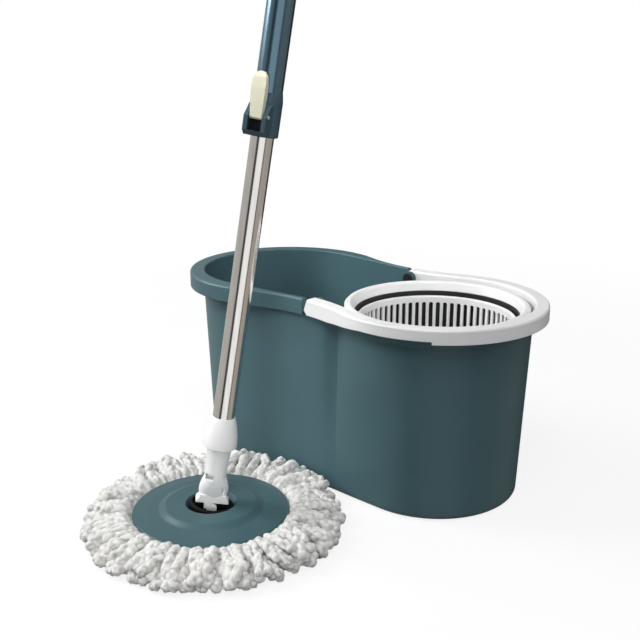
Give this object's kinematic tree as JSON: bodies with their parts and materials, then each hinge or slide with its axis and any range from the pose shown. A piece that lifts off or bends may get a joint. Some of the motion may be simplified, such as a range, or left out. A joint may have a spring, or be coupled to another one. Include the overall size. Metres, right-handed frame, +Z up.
{
  "type": "spin mop",
  "caption": "Two-lobed wash bucket with swing bail and slotted spin basket, and a push-handle mop with a tilting round head, looped strand fringe and flip-lever lock.",
  "frame": {"origin": "middle of the bucket's foot, on the floor", "axes": "+X towards the basket lobe, -Y to the front where the mop stands, +Z up"},
  "size_m": [0.457, 0.4862, 1.0977],
  "materials": {
    "teal_plastic": "satin moulded, blue-green",
    "white_plastic": "smooth moulded, white",
    "black_plastic": "moulded, black",
    "cream_plastic": "smooth moulded, cream",
    "strands": "looped microfibre chenille, off-white",
    "polished_steel": "polished stainless tube",
    "plain_steel": "plain steel",
    "painted_tube": "gloss lacquer, dark blue-green",
    "bronze": "sintered bushing"
  },
  "bodies": {
    "bucket": {"bucket_shell": "teal_plastic", "bail_pins": "black_plastic", "basket_collar": "white_plastic", "basket_cradle": "black_plastic", "basket_spindle": "plain_steel", "thrust_washer": "plain_steel", "spindle_clip": "plain_steel"},
    "bail": {"bail_handle": "white_plastic"},
    "basket": {"spin_basket": "white_plastic", "basket_bush": "bronze", "centre_post": "white_plastic"},
    "mop_head": {"mop_disc": "teal_plastic", "hub_cup": "black_plastic", "hub_screws": "plain_steel", "strand_backing": "white_plastic", "mop_strands": "strands", "gimbal_pins": "plain_steel"},
    "gimbal": {"gimbal_ring": "black_plastic", "tilt_pin": "plain_steel"},
    "lower_pole": {"tilt_fork": "white_plastic", "pole_socket": "white_plastic", "socket_rivet": "plain_steel", "lower_tube": "polished_steel", "nut_holder": "black_plastic", "drive_nut": "plain_steel"},
    "slide_bush": {"guide_bush": "black_plastic"},
    "handle": {"twist_rod": "plain_steel", "rod_stop": "plain_steel", "rod_anchor": "black_plastic", "anchor_pin": "plain_steel", "upper_tube": "painted_tube", "lock_housing": "teal_plastic", "lock_pin": "plain_steel", "brake_pad": "black_plastic", "hand_grip": "teal_plastic", "hang_cap": "teal_plastic"},
    "lever": {"lock_lever": "cream_plastic"}
  },
  "joints": [
    {"name": "bail_swing", "type": "hinge", "parent": "bucket", "child": "bail", "pos_m": [0.014, 0, 0.2053], "axis": [0, -1, 0], "range_deg": [0, 95]},
    {"name": "basket_spin", "type": "hinge", "parent": "bucket", "child": "basket", "pos_m": [0.1105, 0, 0.12], "axis": [0, 0, 1], "continuous": true},
    {"name": "mop_lift", "type": "slide", "parent": "bucket", "child": "mop_head", "axis": [0, -0.3, 0.9539], "range_m": [0, 0.4]},
    {"name": "head_tilt", "type": "hinge", "parent": "mop_head", "child": "gimbal", "pos_m": [0.0027, -0.2327, 0.022], "axis": [-0.757, 0.6534, 0], "range_deg": [-36, 18]},
    {"name": "pole_tilt", "type": "hinge", "parent": "gimbal", "child": "lower_pole", "pos_m": [0.0027, -0.2327, 0.022], "axis": [0.6454, 0.7477, -0.1564], "range_deg": [-26, 40]},
    {"name": "pole_spin", "type": "hinge", "parent": "lower_pole", "child": "slide_bush", "pos_m": [0.05279, -0.17467, 0.50597], "axis": [-0.1022, -0.1184, -0.9877], "range_deg": [-5, 725]},
    {"name": "pole_press", "type": "slide", "parent": "slide_bush", "child": "handle", "axis": [-0.1022, -0.1184, -0.9877], "range_m": [0, 0.24]},
    {"name": "lever_flip", "type": "hinge", "parent": "handle", "child": "lever", "pos_m": [0.04868, -0.20196, 0.41297], "axis": [0.9374, 0.3208, -0.1355], "range_deg": [0, 100]}
  ],
  "couplings": [
    {"joint": "pole_spin", "follows": "pole_press", "rad_per_m": 52.36}
  ]
}
